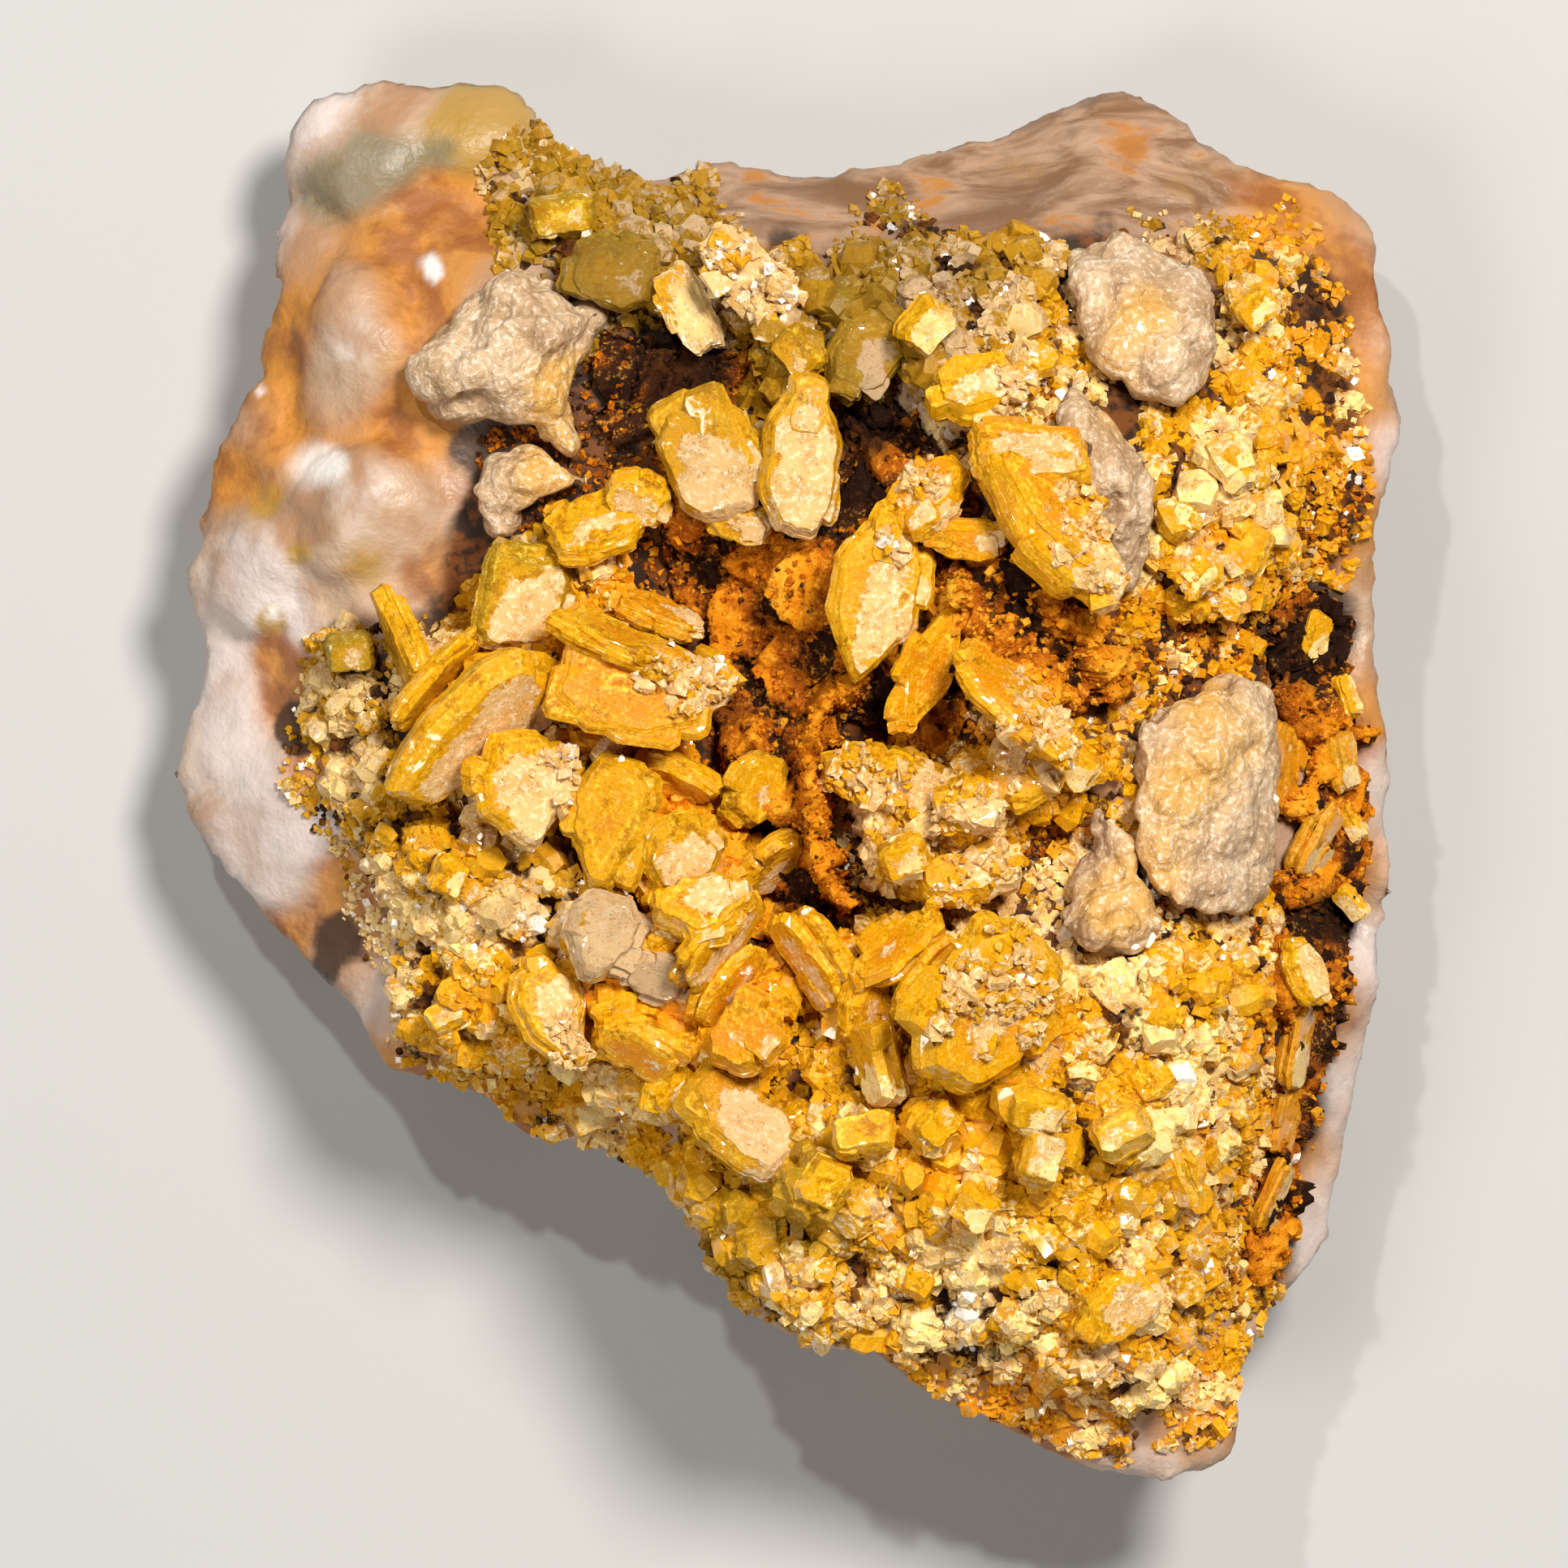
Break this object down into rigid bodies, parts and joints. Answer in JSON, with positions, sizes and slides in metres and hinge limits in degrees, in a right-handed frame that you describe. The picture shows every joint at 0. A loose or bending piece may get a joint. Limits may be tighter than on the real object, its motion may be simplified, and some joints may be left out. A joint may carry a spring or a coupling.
{
  "type": "wulfenite crystal specimen",
  "caption": "Loose block of pale vein rock whose hollowed face is crusted with small wulfenite crystals and set with larger honey-yellow tablets and pale calcite patches.",
  "frame": {"origin": "middle of the specimen's bounding box, on the surface that it rests on", "axes": "+Z out of the crystal-bearing face, which is up as the specimen lies; +Y along its longest side, towards the edge with the smooth banded rock; +X to the right when it is seen from above with +Y up"},
  "size_m": [0.0458, 0.052, 0.0209],
  "materials": {
    "rock": "pale pinkish vein rock with rust stains, dull broken surfaces",
    "wulfenite_druse": "crust of small yellow to cream crystals, sugary and partly glossy",
    "limonite": "crumbly orange-brown iron oxide, dull",
    "calcite": "pale pinkish translucent sugary mass, soft gloss",
    "wulfenite": "honey-yellow resinous crystal with frosted cream faces"
  },
  "bodies": {
    "root": {"host_rock": "rock", "druse_left_shelf": "wulfenite_druse", "druse_bowl": "wulfenite_druse", "druse_lower": "wulfenite_druse", "druse_right": "wulfenite_druse", "druse_upper_band": "wulfenite_druse", "limonite_north_hollow": "limonite", "limonite_centre_hollow": "limonite", "limonite_sponge": "limonite", "limonite_right_ledge": "limonite", "druse_middle": "wulfenite_druse", "calcite_upper_right": "calcite", "calcite_inner_right": "calcite", "calcite_right": "calcite", "calcite_right_lower": "calcite", "calcite_upper_left": "calcite", "calcite_left": "calcite", "tablet_great_west": "wulfenite", "tablet_west_face": "wulfenite", "blade_west_upright": "wulfenite", "blade_behind_great_west": "wulfenite", "crossed_tablets": "wulfenite", "blade_north_of_cross": "wulfenite", "tablet_olive_west": "wulfenite", "tablet_arch": "wulfenite", "tablet_bowl_large": "wulfenite", "blade_bowl_bridge": "wulfenite", "tablet_bowl_round": "wulfenite", "tablet_bowl_pale": "wulfenite", "blade_bowl_east": "wulfenite", "tablet_bowl_south": "wulfenite", "twin_blades": "wulfenite", "tablet_silver_face": "wulfenite", "tablet_small_silver": "wulfenite", "tablet_shelf_edge": "wulfenite", "tablet_south_long": "wulfenite", "tablet_white_window": "wulfenite", "tablet_brown_face": "wulfenite", "tablet_south_lip": "wulfenite", "fan_blades": "wulfenite", "tablet_great_south": "wulfenite", "tablet_knobbly": "wulfenite", "tablet_druse_ridge": "wulfenite", "tablet_cream_knob": "wulfenite", "tablet_middle_knob": "wulfenite", "open_pair": "wulfenite", "blade_centre_upright": "wulfenite", "tablet_great_centre": "wulfenite", "tablet_hooked": "wulfenite", "tablet_north_pale": "wulfenite", "tablet_great_diagonal": "wulfenite", "tablet_north_block": "wulfenite", "tablet_beige_east": "wulfenite", "tablet_beige_west": "wulfenite", "tablet_dull_north": "wulfenite", "tablet_olive_north": "wulfenite", "crumbly_bars": "wulfenite", "tablet_corner_beige": "wulfenite", "tablet_corner_low": "wulfenite", "tablet_ledge_upright": "wulfenite"}
  },
  "joints": []
}
